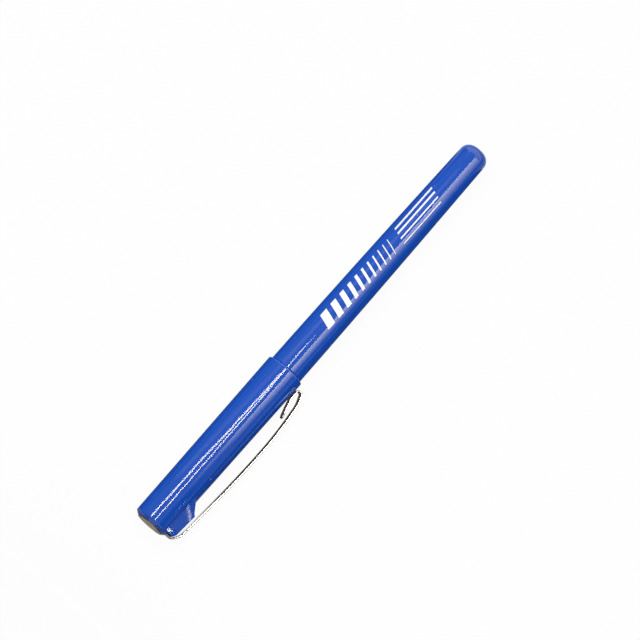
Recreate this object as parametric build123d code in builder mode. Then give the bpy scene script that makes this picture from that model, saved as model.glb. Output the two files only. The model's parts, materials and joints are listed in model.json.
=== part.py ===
from build123d import *
import os
from math import asin, atan2, cos, degrees, hypot, radians, sin, sqrt, tan

# A capped fineliner pen lying on a table, in millimetres. The pen's axis is parallel to X, with the tail
# towards +X. Sketches that hold the axis use (s, r): s runs along the axis from the cap's end rim, and r is
# the distance from the axis. The pen is rolled until its clip touches the table.

# Cap
cap_length = 55.45
cap_end_d = 10.78
cap_mouth_d = 11.36
cap_bore_end_d = 8.4
cap_bore_mouth_d = 9.0
cap_rim_round = 0.5
cap_mouth_round = 0.5
cap_mouth_lead = 0.2

# Boss under the clip, at the closed end of the cap
boss_clip_gap = 1.0
boss_outer_width = 4.6
boss_foot_angle = 48.5
boss_foot_depth = 0.1
boss_length = 8.95
boss_nose_angle = 40
boss_corner_run = 1.1
boss_corner_drop = 0.62
boss_nose_round = 1.0
boss_edge_round = 0.2

# Crown that closes the cap's end
crown_rise = 0.58
crown_step = 0.44
crown_band_bulge = 0.06
crown_stem_length = 4.5
disc_d = 8.2
disc_thickness = 0.2
disc_dome = 0.12
disc_edge_round = 0.08
disc_pin_d = 2.0
disc_pin_length = 1.8

# Pocket clip, one strip of spring steel
clip_width = 3.6
clip_thickness = 0.48
clip_sink = 0.15
clip_seat_gap = 0.07
clip_hook_length = 2.6
clip_hook_gap = 0.3
clip_hook_bend = 0.9
clip_corner_drop = 1.37
clip_corner_run = 2.4
clip_corner_bend = 1.3
clip_arm_bend = 2.5
clip_peak_height = 4.34
clip_rise_radius = 320
clip_rise_angle = 3.8
clip_fall_radius = 105
clip_fall_angle = 6.2
clip_fall_run = 4.46
clip_tip_setback = 1.6
clip_curl_gap = 0.12
clip_curl_length = 3.25
clip_curl_ease = 9
clip_curl_radius = 0.95
clip_curl_flattening = 0.1
clip_foot_length = 3.25
clip_foot_radius = 6
clip_return_length = 9.1
clip_return_height = 1.75
clip_end_flat = 0.15
clip_slot_gap = 0.15

# Soft liner inside the cap
liner_floor = 1.0
liner_overlap = 4.7
liner_cup_gap = 0.4
liner_cone_gap = 0.3
point_gap = 1.65

# Barrel
barrel_length = 80.7
barrel_front_d = 9.98
barrel_tail_d = 8.28
barrel_bow = 0.135
barrel_mouth_gap = 0.2
shoulder_round = 0.5
tail_round = 2.9
tail_floor = 4.0
socket_wall = 1.0
front_wall = 1.15
tail_wall = 0.87
rib_count = 4
rib_width = 0.8
rib_root = 0.1
rib_end_gap = 2.5

# Nib holder, the front section that plugs into the barrel
holder_spigot_length = 9.5
neck_gap = 0.06
neck_bead_height = 0.06
neck_bead_length = 1.6
neck_bead_offset = 3.4
grip_gap = 0.25
grip_edge_round = 0.6
cone_length = 12.0
cone_front_d = 3.8
nose_length = 3.6
nose_front_d = 3.0

# Point
sleeve_d = 1.44
sleeve_lip = 0.12
sleeve_taper_length = 1.4
sleeve_out = 4.2
sleeve_in = 5.0
nib_d = 0.72
nib_out = 0.85
nib_tip_d = 0.26
nib_tail = 2.0
wick_d = 2.0

# Ink store
wrap_gap = 0.07
wrap_thickness = 0.15
wrap_setback = 0.3
wick_reach = 10
reservoir_end_gap = 0.9

# Clearances of pieces that are pressed together or seated
press_gap = 0.02
seat_gap = 0.1


def cap_bore_r(s):
    """Radius of the cap's drafted bore at s."""
    return (cap_bore_end_d + (cap_bore_mouth_d - cap_bore_end_d) * s / cap_length) / 2


# Places along the axis, from the crown to the tail
cap_end_r = cap_end_d / 2
cap_mouth_r = cap_mouth_d / 2
disc_top_s = -(crown_rise + disc_thickness + disc_dome)
liner_start_s = crown_stem_length + seat_gap
nib_tip_s = liner_start_s + liner_floor + point_gap
sleeve_front_s = nib_tip_s + nib_out
nose_front_s = sleeve_front_s + sleeve_out
sleeve_rear_s = nose_front_s + sleeve_in
cone_front_s = nose_front_s + nose_length
cone_base_s = cone_front_s + cone_length
liner_end_s = cone_front_s + liner_overlap
barrel_front_s = cap_length + barrel_mouth_gap
barrel_tail_s = barrel_front_s + barrel_length
spigot_end_s = barrel_front_s + holder_spigot_length
socket_end_s = spigot_end_s + seat_gap
bore_end_s = barrel_tail_s - tail_floor
reservoir_front_s = socket_end_s
reservoir_rear_s = bore_end_s - reservoir_end_gap
wick_rear_s = reservoir_front_s + wick_reach

# Radii that follow from the pieces round them
bead_s = barrel_front_s - neck_bead_offset
neck_r = cap_bore_r(bead_s) - neck_gap - neck_bead_height
grip_front_r = cap_bore_r(cone_base_s) - grip_gap
cone_front_r = cone_front_d / 2
socket_r = barrel_front_d / 2 - socket_wall
bore_front_r = barrel_front_d / 2 - front_wall
bore_tail_r = barrel_tail_d / 2 - tail_wall
wrap_r = min(bore_front_r, bore_tail_r) - wrap_gap
sleeve_bore_r = nib_d / 2 + press_gap


def cone_r(s):
    """Radius of the nib holder's cone, carried on past its ends, at s."""
    return cone_front_r + (grip_front_r - cone_front_r) * (s - cone_front_s) / cone_length


# Line of the clip's outer face: tab in the end plane, arm, bow and curl
rise = radians(clip_rise_angle)
fall = radians(clip_fall_angle)
clip_half = clip_width / 2
clip_peak_r = cap_mouth_r + clip_peak_height
tab_s = clip_sink
tip_s = cap_length - clip_tip_setback
curl_start_s = tip_s - clip_curl_length
bow_end_s = curl_start_s - clip_fall_run
peak_s = bow_end_s - clip_fall_radius * sin(fall)
bow_end = (bow_end_s, clip_peak_r - clip_fall_radius * (1 - cos(fall)))
bow_start = (peak_s - clip_rise_radius * sin(rise), clip_peak_r - clip_rise_radius * (1 - cos(rise)))
hook_r = sqrt(cap_bore_r(0) ** 2 - clip_half ** 2) - clip_hook_gap - clip_thickness


def arm_r(s):
    """Distance of the arm's outer face from the axis, where the arm is straight."""
    return bow_start[1] - (bow_start[0] - s) * tan(rise)


# Rest: the cap's mouth and the lower edge of the clip both touch the table
clip_corner_angle = degrees(atan2(clip_half, clip_peak_r))
clip_roll = degrees(asin(cap_mouth_r / hypot(clip_peak_r, clip_half))) - clip_corner_angle
clip_out = (0, -cos(radians(clip_roll)), -sin(radians(clip_roll)))
clip_side = (0, sin(radians(clip_roll)), -cos(radians(clip_roll)))
clip_reach_y = hypot(clip_peak_r, clip_half) * cos(radians(clip_roll - clip_corner_angle))

# The origin is under the middle of the whole pen, on the table
middle_s = (barrel_tail_s + disc_top_s) / 2
rim_centre = Vector(-middle_s, (clip_reach_y - cap_mouth_r) / 2, cap_mouth_r)
pen_axis = Axis(rim_centre, (1, 0, 0))
axis_plane = Plane(rim_centre, x_dir=(1, 0, 0), z_dir=(0, -1, 0))
clip_plane = Plane(rim_centre, x_dir=(1, 0, 0), z_dir=clip_side)


def cross_plane(s):
    """Plane square to the axis at s, facing the tail, with its own X along the clip."""
    return Plane(rim_centre + Vector(s, 0, 0), x_dir=clip_out, z_dir=(1, 0, 0))


# Boss: a prism with sloping flanks, cut to its side view, with a slanted, rounded nose; the clip's tab lies
# on its end face, and its outer face runs along the clip's arm
boss_start_s = tab_s + clip_thickness + clip_seat_gap
boss_foot_r = cap_end_r - boss_foot_depth
boss_foot = (boss_foot_r * cos(radians(boss_foot_angle)), boss_foot_r * sin(radians(boss_foot_angle)))


def boss_r(s):
    """Distance of the boss's outer face from the axis at s."""
    return arm_r(s) - clip_thickness - boss_clip_gap


boss_top_r = boss_r(boss_length)
boss_end_s = boss_length + (boss_top_r - boss_foot[0]) / tan(radians(boss_nose_angle))
boss_corner_s = boss_start_s + boss_corner_run
with BuildPart() as boss:
    with BuildSketch(cross_plane(boss_start_s)):
        with BuildLine():
            Polyline(
                (boss_foot[0], -boss_foot[1]),
                (boss_top_r, -boss_outer_width / 2),
                (boss_top_r, boss_outer_width / 2),
                (boss_foot[0], boss_foot[1]),
                close=True,
            )
        make_face()
    extrude(amount=boss_end_s - boss_start_s)
    with BuildSketch(clip_plane):
        with BuildLine():
            Polyline(
                (boss_start_s, boss_foot[0]),
                (boss_start_s, boss_r(boss_corner_s) - boss_corner_drop),
                (boss_corner_s, boss_r(boss_corner_s)),
                (boss_length, boss_top_r),
                (boss_end_s, boss_foot[0]),
                close=True,
            )
        make_face()
    extrude(amount=cap_end_d, both=True, mode=Mode.INTERSECT)
    nose = boss.faces().sort_by(Axis.X)[-1]
    nose_sides = nose.edges().filter_by(lambda edge: abs(edge.tangent_at(0.5).X) > 0.1)
    fillet(nose_sides, radius=boss_nose_round)
    outer_s = (boss_start_s + boss_length) / 2
    outer_face = boss.faces().sort_by_distance(clip_plane.from_local_coords((outer_s, boss_r(outer_s))))[0]
    outer_lines = outer_face.edges().filter_by(GeomType.LINE)
    fillet(outer_lines.filter_by(lambda edge: abs(edge.tangent_at(0.5).X) > 0.5), radius=boss_edge_round)

# Cap shell: drafted tube with the boss on it, bored, and notched at its end for the clip
with BuildPart() as cap_shell:
    with BuildSketch(axis_plane) as cap_outline:
        with BuildLine():
            Polyline((0, 0), (0, cap_end_r), (cap_length, cap_mouth_r), (cap_length, 0), close=True)
        make_face()
        rim_corner = cap_outline.vertices().group_by(Axis.X)[0].sort_by(Axis.Y)[-1]
        fillet(rim_corner, radius=cap_rim_round)
        mouth_corner = cap_outline.vertices().group_by(Axis.X)[-1].sort_by(Axis.Y)[-1]
        fillet(mouth_corner, radius=cap_mouth_round)
    revolve(axis=pen_axis)
    add(boss.part)
    with BuildSketch(axis_plane):
        with BuildLine():
            Polyline(
                (0, 0),
                (0, cap_bore_r(0)),
                (cap_length - cap_mouth_lead, cap_bore_r(cap_length)),
                (cap_length, cap_bore_r(cap_length) + cap_mouth_lead),
                (cap_length, 0),
                close=True,
            )
        make_face()
    revolve(axis=pen_axis, mode=Mode.SUBTRACT)
    with BuildSketch(clip_plane):
        with BuildLine():
            Polyline((0, 0), (0, cap_end_d), (boss_start_s, cap_end_d), (boss_start_s, 0), close=True)
        make_face()
    extrude(amount=clip_half + clip_slot_gap, both=True, mode=Mode.SUBTRACT)

# Pocket clip: the outer face's line, hook first, then offset inwards by the strip's thickness
corner_s = tab_s + clip_corner_run
curl_r = cap_mouth_r + clip_curl_gap
curl_start_r = bow_end[1] - clip_fall_run * tan(fall)
curl_top_r = curl_r + 2 * clip_curl_radius - clip_curl_flattening
clip_end = (tip_s - clip_return_length, curl_r + clip_return_height)
with BuildPart() as pocket_clip:
    with BuildSketch(clip_plane):
        with BuildLine():
            FilletPolyline(
                (clip_hook_length, hook_r),
                (tab_s, hook_r),
                (tab_s, arm_r(tab_s) - clip_corner_drop),
                (corner_s, arm_r(corner_s)),
                bow_start,
                radius=[clip_hook_bend, clip_corner_bend, clip_arm_bend],
            )
            JernArc(bow_start, (cos(rise), sin(rise)), clip_rise_radius, -clip_rise_angle)
            JernArc((peak_s, clip_peak_r), (1, 0), clip_fall_radius, -clip_fall_angle)
            FilletPolyline(
                bow_end,
                (curl_start_s, curl_start_r),
                (tip_s, curl_top_r),
                (tip_s, curl_r),
                (tip_s - clip_foot_length, curl_r),
                clip_end,
                radius=[clip_curl_ease, clip_curl_radius, clip_curl_radius, clip_foot_radius],
            )
            offset(amount=clip_thickness, side=Side.RIGHT, closed=True)
        make_face()
    extrude(amount=clip_half, both=True)
    end_face = pocket_clip.faces().sort_by_distance(clip_plane.from_local_coords(clip_end))[0]
    end_corners = end_face.edges().sort_by(SortBy.LENGTH)[:2]
    fillet(end_corners, radius=clip_half - clip_end_flat)

# Crown plug: stem pressed into the cap's end, a bevelled band, and a slot for the clip's hook
crown_edge_r = cap_end_r - crown_step
crown_top_r = disc_d / 2
band_middle = (-crown_rise / 2 - crown_band_bulge, (crown_edge_r + crown_top_r) / 2 + crown_band_bulge)
with BuildPart() as crown_plug:
    with BuildSketch(axis_plane):
        with BuildLine():
            Polyline(
                (-crown_rise, crown_top_r),
                (-crown_rise, 0),
                (crown_stem_length, 0),
                (crown_stem_length, cap_bore_r(crown_stem_length) - press_gap),
                (0, cap_bore_r(0) - press_gap),
                (0, crown_edge_r),
            )
            ThreePointArc((0, crown_edge_r), band_middle, (-crown_rise, crown_top_r))
        make_face()
    revolve(axis=pen_axis)
    with BuildSketch(clip_plane):
        with BuildLine():
            Polyline(
                (tab_s - seat_gap, hook_r - clip_slot_gap),
                (clip_hook_length + 2 * clip_slot_gap, hook_r - clip_slot_gap),
                (clip_hook_length + 2 * clip_slot_gap, cap_end_d),
                (tab_s - seat_gap, cap_end_d),
                close=True,
            )
        make_face()
    extrude(amount=clip_half + clip_slot_gap, both=True, mode=Mode.SUBTRACT)
    with BuildSketch(cross_plane(-crown_rise)):
        Circle(disc_pin_d / 2 + press_gap)
    extrude(amount=disc_pin_length + seat_gap, mode=Mode.SUBTRACT)

# Crown disc: thin domed button with a pin
with BuildPart() as crown_disc:
    with BuildSketch(axis_plane) as disc_outline:
        with BuildLine():
            Polyline(
                (disc_top_s, 0),
                (disc_pin_length - crown_rise, 0),
                (disc_pin_length - crown_rise, disc_pin_d / 2),
                (-crown_rise, disc_pin_d / 2),
                (-crown_rise, disc_d / 2),
                (-crown_rise - disc_thickness, disc_d / 2),
            )
            TangentArc((disc_top_s, 0), (-crown_rise - disc_thickness, disc_d / 2), tangent=(0, 1))
        make_face()
        disc_edge = disc_outline.vertices().group_by(Axis.Y)[-1].sort_by(Axis.X)[0]
        fillet(disc_edge, radius=disc_edge_round)
    revolve(axis=pen_axis)

# Inner cap: soft cup that closes over the point, behind the crown's stem
liner_cup_r = cone_front_r + liner_cup_gap
cone_slope = (grip_front_r - cone_front_r) / cone_length
liner_cone_s = cone_front_s + (liner_cup_gap - liner_cone_gap) / cone_slope
with BuildPart() as inner_cap:
    with BuildSketch(axis_plane):
        with BuildLine():
            Polyline(
                (liner_start_s, 0),
                (liner_start_s, cap_bore_r(liner_start_s) - press_gap),
                (liner_end_s, cap_bore_r(liner_end_s) - press_gap),
                (liner_end_s, cone_r(liner_end_s) + liner_cone_gap),
                (liner_cone_s, liner_cup_r),
                (liner_start_s + liner_floor, liner_cup_r),
                (liner_start_s + liner_floor, 0),
                close=True,
            )
        make_face()
    revolve(axis=pen_axis)

# Barrel: tapered, slightly bowed tube with a rounded, closed tail and ribs that grip the ink store
barrel_front = (barrel_front_s, barrel_front_d / 2)
barrel_middle = ((barrel_front_s + barrel_tail_s) / 2, (barrel_front_d + barrel_tail_d) / 4 + barrel_bow)
barrel_tail = (barrel_tail_s, barrel_tail_d / 2)
rib_tip_r = wrap_r + press_gap
rib_outer_r = max(bore_front_r, bore_tail_r) + rib_root
with BuildPart() as barrel:
    with BuildSketch(axis_plane) as barrel_outline:
        with BuildLine():
            Polyline(barrel_tail, (barrel_tail_s, 0), (barrel_front_s, 0), barrel_front)
            ThreePointArc(barrel_front, barrel_middle, barrel_tail)
        make_face()
        shoulder = barrel_outline.vertices().group_by(Axis.X)[0].sort_by(Axis.Y)[-1]
        fillet(shoulder, radius=shoulder_round)
        tail_corner = barrel_outline.vertices().group_by(Axis.X)[-1].sort_by(Axis.Y)[-1]
        fillet(tail_corner, radius=tail_round)
    revolve(axis=pen_axis)
    with BuildSketch(axis_plane):
        with BuildLine():
            Polyline(
                (barrel_front_s, 0),
                (barrel_front_s, socket_r),
                (socket_end_s, socket_r),
                (socket_end_s, bore_front_r),
                (bore_end_s, bore_tail_r),
                (bore_end_s, 0),
                close=True,
            )
        make_face()
    revolve(axis=pen_axis, mode=Mode.SUBTRACT)
    with BuildSketch(cross_plane(socket_end_s + rib_end_gap)):
        with PolarLocations((rib_tip_r + rib_outer_r) / 2, rib_count):
            Rectangle(rib_outer_r - rib_tip_r, rib_width)
    extrude(amount=bore_end_s - socket_end_s - 2 * rib_end_gap)

# Nib holder: spigot, neck with a snap bead, grip, cone and nose, bored for the wick and the sleeve
bead_front = (bead_s - neck_bead_length / 2, neck_r)
bead_rear = (bead_s + neck_bead_length / 2, neck_r)
with BuildPart() as nib_holder:
    with BuildSketch(axis_plane) as holder_outline:
        with BuildLine():
            ThreePointArc(bead_front, (bead_s, neck_r + neck_bead_height), bead_rear)
            Polyline(
                bead_rear,
                (barrel_front_s, neck_r),
                (barrel_front_s, socket_r - press_gap),
                (spigot_end_s, socket_r - press_gap),
                (spigot_end_s, wick_d / 2 + press_gap),
                (sleeve_rear_s, wick_d / 2 + press_gap),
                (sleeve_rear_s, sleeve_d / 2 + press_gap),
                (nose_front_s, sleeve_d / 2 + press_gap),
                (nose_front_s, nose_front_d / 2),
                (cone_front_s, cone_front_r),
                (cone_base_s, grip_front_r),
                bead_front,
            )
        make_face()
        grip_edge = holder_outline.vertices().sort_by_distance((cone_base_s, grip_front_r))[0]
        fillet(grip_edge, radius=grip_edge_round)
    revolve(axis=pen_axis)

# Point sleeve: steel tube with a tapered front end
with BuildPart() as point_sleeve:
    with BuildSketch(axis_plane):
        with BuildLine():
            Polyline(
                (sleeve_front_s, sleeve_bore_r),
                (sleeve_rear_s, sleeve_bore_r),
                (sleeve_rear_s, sleeve_d / 2),
                (sleeve_front_s + sleeve_taper_length, sleeve_d / 2),
                (sleeve_front_s, sleeve_bore_r + sleeve_lip),
                close=True,
            )
        make_face()
    revolve(axis=pen_axis)

# Nib: fine rod with a narrowed tip, let into the front of the wick
nib_rear_s = sleeve_rear_s + nib_tail
with BuildPart() as nib:
    with BuildSketch(axis_plane) as nib_outline:
        with BuildLine():
            Polyline(
                (nib_tip_s, 0),
                (nib_rear_s, 0),
                (nib_rear_s, nib_d / 2),
                (sleeve_front_s, nib_d / 2),
                (nib_tip_s, nib_tip_d / 2),
                close=True,
            )
        make_face()
        tip_corner = nib_outline.vertices().sort_by_distance((nib_tip_s, nib_tip_d / 2))[0]
        fillet(tip_corner, radius=nib_tip_d / 4)
    revolve(axis=pen_axis)

# Feed wick: fibre rod from the back of the nib into the ink store
with BuildPart() as feed_wick:
    with BuildSketch(axis_plane):
        with BuildLine():
            Polyline(
                (nib_rear_s + seat_gap, 0),
                (wick_rear_s, 0),
                (wick_rear_s, wick_d / 2),
                (sleeve_rear_s + seat_gap, wick_d / 2),
                (sleeve_rear_s + seat_gap, nib_d / 2 + press_gap),
                (nib_rear_s + seat_gap, nib_d / 2 + press_gap),
                close=True,
            )
        make_face()
    revolve(axis=pen_axis)

# Ink reservoir: fibre rod with a socket for the wick
reservoir_r = wrap_r - wrap_thickness - press_gap
with BuildPart() as ink_reservoir:
    with BuildSketch(axis_plane):
        with BuildLine():
            Polyline(
                (reservoir_front_s, wick_d / 2 + press_gap),
                (wick_rear_s + seat_gap, wick_d / 2 + press_gap),
                (wick_rear_s + seat_gap, 0),
                (reservoir_rear_s, 0),
                (reservoir_rear_s, reservoir_r),
                (reservoir_front_s, reservoir_r),
                close=True,
            )
        make_face()
    revolve(axis=pen_axis)

# Reservoir wrap: film round the ink store
with BuildPart() as reservoir_wrap:
    with BuildSketch(cross_plane(reservoir_front_s + wrap_setback)):
        Circle(wrap_r)
        Circle(wrap_r - wrap_thickness, mode=Mode.SUBTRACT)
    extrude(amount=reservoir_rear_s - reservoir_front_s - 2 * wrap_setback)

pieces = {
    "cap_shell": cap_shell,
    "crown_plug": crown_plug,
    "crown_disc": crown_disc,
    "pocket_clip": pocket_clip,
    "inner_cap": inner_cap,
    "barrel": barrel,
    "nib_holder": nib_holder,
    "point_sleeve": point_sleeve,
    "nib": nib,
    "feed_wick": feed_wick,
    "ink_reservoir": ink_reservoir,
    "reservoir_wrap": reservoir_wrap,
}
os.makedirs("parts", exist_ok=True)
for name, piece in pieces.items():
    piece.part.label = name
    export_step(piece.part, f"parts/{name}.step")

# Places that the record repeats
hinge_point = clip_plane.from_local_coords((tab_s + clip_thickness / 2, cap_bore_r(0) + clip_thickness))
print("clip roll below the horizontal, degrees:", round(clip_roll, 3))
print("clip hinge point:", hinge_point, "axis:", clip_side)
print("axis at the rim:", rim_centre)
print("curl foot:", clip_plane.from_local_coords((tip_s - clip_foot_length / 2, curl_r)))
print("nib tip, tail and disc top s:", round(nib_tip_s, 3), round(barrel_tail_s, 3), round(disc_top_s, 3))
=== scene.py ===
"""Dresses a packed fineliner pen and sets the studio that it is shown in."""
import json
from math import asin, atan2, copysign, cos, pi, radians, remainder, sin, sqrt, tan, tau

import bmesh
import bpy
from bpy.props import FloatProperty, FloatVectorProperty, IntProperty, PointerProperty
from mathutils import Matrix, Vector


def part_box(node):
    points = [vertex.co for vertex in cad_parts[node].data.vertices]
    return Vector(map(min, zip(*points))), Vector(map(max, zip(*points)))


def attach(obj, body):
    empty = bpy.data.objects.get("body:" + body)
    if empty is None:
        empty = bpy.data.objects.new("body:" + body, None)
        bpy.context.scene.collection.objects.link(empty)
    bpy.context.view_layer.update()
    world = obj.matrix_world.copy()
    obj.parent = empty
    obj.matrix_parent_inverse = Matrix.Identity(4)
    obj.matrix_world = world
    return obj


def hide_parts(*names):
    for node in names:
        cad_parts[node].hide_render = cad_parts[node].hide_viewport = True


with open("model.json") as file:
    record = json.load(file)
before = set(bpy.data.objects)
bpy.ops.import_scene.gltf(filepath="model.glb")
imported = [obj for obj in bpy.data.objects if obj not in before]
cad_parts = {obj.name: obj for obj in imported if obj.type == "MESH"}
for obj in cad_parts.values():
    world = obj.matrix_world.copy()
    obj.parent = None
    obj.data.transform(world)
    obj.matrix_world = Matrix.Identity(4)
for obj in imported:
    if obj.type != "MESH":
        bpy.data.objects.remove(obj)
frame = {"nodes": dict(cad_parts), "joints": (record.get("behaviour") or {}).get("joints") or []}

bl_info = {
    "name": "Fineliner pen",
    "version": (1, 0, 0),
    "blender": (4, 5, 0),
    "location": "View3D > Sidebar > Pen",
    "description": "Dresses a packed fineliner pen and sets its studio",
    "category": "Object",
}

MM = 0.001
MICRON = 0.000001
WHITE = (1, 1, 1)
BLACK = (0, 0, 0)
SHARP_ANGLE = radians(28)
CREASE_ANGLE = radians(35)
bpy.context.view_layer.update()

# Places that the frame gives: s runs along the pen's axis from the rim of the cap's closed end,
# and r outwards from the axis
ALONG = Vector((1, 0, 0))
CAP_LOW, CAP_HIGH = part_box("cap_shell")
BARREL_LOW, BARREL_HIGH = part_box("barrel")
RIM = Vector((CAP_LOW.x, (BARREL_LOW.y + BARREL_HIGH.y) / 2, (BARREL_LOW.z + BARREL_HIGH.z) / 2))
CAP_LENGTH = CAP_HIGH.x - RIM.x
BARREL_FRONT = BARREL_LOW.x - RIM.x
BARREL_TAIL = BARREL_HIGH.x - RIM.x
CLIP_SIDE = Vector(next(j["axis"] for j in frame["joints"] if j["name"] == "clip_flex")).normalized()
CLIP_OUT = CLIP_SIDE.cross(ALONG)

MADE = {}


def amount(name, description, value, **kind):
    """A value, with its unit or subtype where one fits."""
    return FloatProperty(name=name, description=description, default=value, **kind)


def length(name, description, millimetres):
    """A length, given in millimetres and kept in metres."""
    return amount(name, description, millimetres * MM, precision=5, unit="LENGTH")


def angle(name, description, degrees):
    """An angle, given in degrees and kept in radians."""
    return amount(name, description, radians(degrees), subtype="ANGLE")


def count(name, description, number):
    """A number of like marks, at least two."""
    return IntProperty(name=name, description=description, default=number, min=2)


def colour(name, description, red, green, blue):
    """A linear colour."""
    return FloatVectorProperty(
        name=name, description=description, default=(red, green, blue), subtype="COLOR", min=0, max=1
    )


class CapSizes(bpy.types.PropertyGroup):
    """Sizes of the cap's tube and of the crown in its end"""

    end_d: length("End diameter", "Outer diameter at the closed end", 10.78)
    mouth_d: length("Mouth diameter", "Outer diameter at the open end", 11.36)
    bore_end_d: length("Bore at the end", "Inner diameter at the closed end", 8.4)
    bore_mouth_d: length("Bore at the mouth", "Inner diameter at the open end", 9.0)
    rim_round: length("Rim round", "Radius of the closed end's outer edge", 0.5)
    mouth_round: length("Mouth round", "Radius of the open end's outer edge", 0.36)
    mouth_lead: length("Mouth lead-in", "Bevel inside the open end", 0.2)
    notch_width: length("Notch width", "Width of the notch that the clip passes through", 3.9)
    notch_depth: length("Notch depth", "Depth of the notch from the closed end", 0.7)
    disc_d: length("Button diameter", "Diameter of the metal button in the crown", 8.2)
    disc_seat: length("Button seat", "How far the crown stands out under the button", 0.58)
    disc_thickness: length("Button thickness", "Thickness of the button at its edge", 0.2)
    disc_dome: length("Button dome", "Rise of the button's middle over its edge", 0.12)
    disc_round: length("Button edge", "Radius of the button's edge", 0.08)
    pin_d: length("Pin diameter", "Diameter of the button's pin", 2.0)
    pin_length: length("Pin length", "Length of the button's pin", 1.8)


class BossSizes(bpy.types.PropertyGroup):
    """Sizes of the boss under the clip"""

    clip_gap: length("Clip gap", "Room between the boss and the clip's arm", 1.0)
    top_width: length("Top width", "Width of the outer face at its nose", 4.6)
    foot_angle: angle("Foot angle", "Turn from the clip to the foot of a flank", 48.5)
    foot_depth: length("Foot depth", "Depth of the foot under the cap's surface", 0.1)
    root_depth: length("Root depth", "Depth of the boss's root in the cap's wall", 0.6)
    reach: length("Length", "Distance of the nose's edge from the cap's end", 8.95)
    nose_angle: angle("Nose angle", "Slope of the nose", 40)
    corner_run: length("Corner run", "Length of the slope at the closed end", 1.1)
    corner_drop: length("Corner drop", "Fall of the slope at the closed end", 0.62)
    edge_round: length("Edge round", "Radius between the outer face and the flanks", 0.2)
    nose_round: length("Nose round", "Radius between the nose and the flanks", 2.2)
    crease_round: length("Crease round", "Radius of the edges across the boss", 0.22)


class ClipSizes(bpy.types.PropertyGroup):
    """Sizes of the steel strip, along its outer face"""

    width: length("Width", "Width of the strip", 3.6)
    thickness: length("Thickness", "Thickness of the strip", 0.48)
    edge_round: length("Edge round", "Radius of the strip's long edges", 0.23)
    sink: length("Sink", "Distance of the tab from the rim", 0.15)
    hook_length: length("Hook length", "Length of the hook in the cap", 2.6)
    hook_gap: length("Hook gap", "Room between the hook and the bore", 0.3)
    hook_bend: length("Hook bend", "Radius between the hook and the tab", 0.9)
    corner_drop: length("Corner drop", "Fall of the corner below the arm's line", 1.37)
    corner_run: length("Corner run", "Length of the corner's slope", 2.4)
    corner_bend: length("Corner bend", "Radius between the tab and the slope", 1.3)
    arm_bend: length("Arm bend", "Radius between the slope and the arm", 2.5)
    peak_height: length("Peak height", "Height of the bow over the cap's mouth", 4.34)
    rise_radius: length("Rise radius", "Radius of the bow before its peak", 320)
    rise_angle: angle("Rise angle", "Slope of the arm", 3.8)
    fall_radius: length("Fall radius", "Radius of the bow after its peak", 105)
    fall_angle: angle("Fall angle", "Slope before the curl", 6.2)
    fall_run: length("Fall run", "Straight length before the curl", 4.46)
    tip_setback: length("Tip setback", "Distance of the tip from the cap's mouth", 1.6)
    curl_gap: length("Curl gap", "Room between the curl and the cap", 0.12)
    curl_length: length("Curl length", "Length of the slope into the curl", 3.25)
    curl_ease: length("Curl ease", "Radius where the slope begins", 9)
    curl_radius: length("Curl radius", "Radius of the curl", 0.95)
    curl_flattening: length("Curl flattening", "How much the curl is pressed together", 0.1)
    foot_length: length("Foot length", "Length of the foot along the cap", 3.25)
    foot_radius: length("Foot radius", "Radius where the return lifts off", 6)
    return_length: length("Return length", "Distance of the free end from the tip", 9.1)
    return_height: length("Return height", "Height of the free end over the foot", 1.75)
    end_flat: length("End flat", "Half the straight part of the free end", 0.15)


class BarrelSizes(bpy.types.PropertyGroup):
    """Sizes of the barrel and of the marks printed on it"""

    front_d: length("Front diameter", "Outer diameter at the cap", 9.98)
    tail_d: length("Tail diameter", "Outer diameter at the tail", 8.28)
    bow: length("Bow", "Bulge of the side over a straight line", 0.135)
    shoulder_round: length("Shoulder round", "Radius of the front edge", 0.2)
    tail_round: length("Tail round", "Radius of the tail's edge", 2.9)
    tail_floor: length("Tail floor", "Thickness of the closed tail", 4.0)
    socket_depth: length("Socket depth", "Depth of the socket for the nib holder", 9.6)
    socket_wall: length("Socket wall", "Wall round the socket", 1.0)
    front_wall: length("Front wall", "Wall behind the socket", 1.15)
    tail_wall: length("Tail wall", "Wall at the tail", 0.87)
    mark_start: length("Mark start", "Distance of the first bar from the barrel's front", 16.0)
    mark_height: length("Mark height", "Height of the bars round the barrel", 4.5)
    mark_widest: length("Widest bar", "Width of the first bar", 2.6)
    mark_narrowest: length("Narrowest bar", "Width of the last bar", 0.25)
    mark_gap: length("Bar gap", "Room between two bars", 1.65)
    mark_slant: angle("Bar slant", "Slant of the bars", -18)
    mark_count: count("Bars", "Number of bars, from broad to fine", 11)
    rule_gap: length("Rule gap", "Room between the bars and the ruled lines", 3.4)
    rule_length: length("Rule length", "Length of the ruled lines", 15.5)
    rule_count: count("Rules", "Number of ruled lines", 4)
    mark_turn: angle("Mark turn", "Turn of the marks from straight up towards the clip", 7.5)
    ink_film: length("Ink film", "Height of the ink over the barrel", 0.02)


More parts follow.
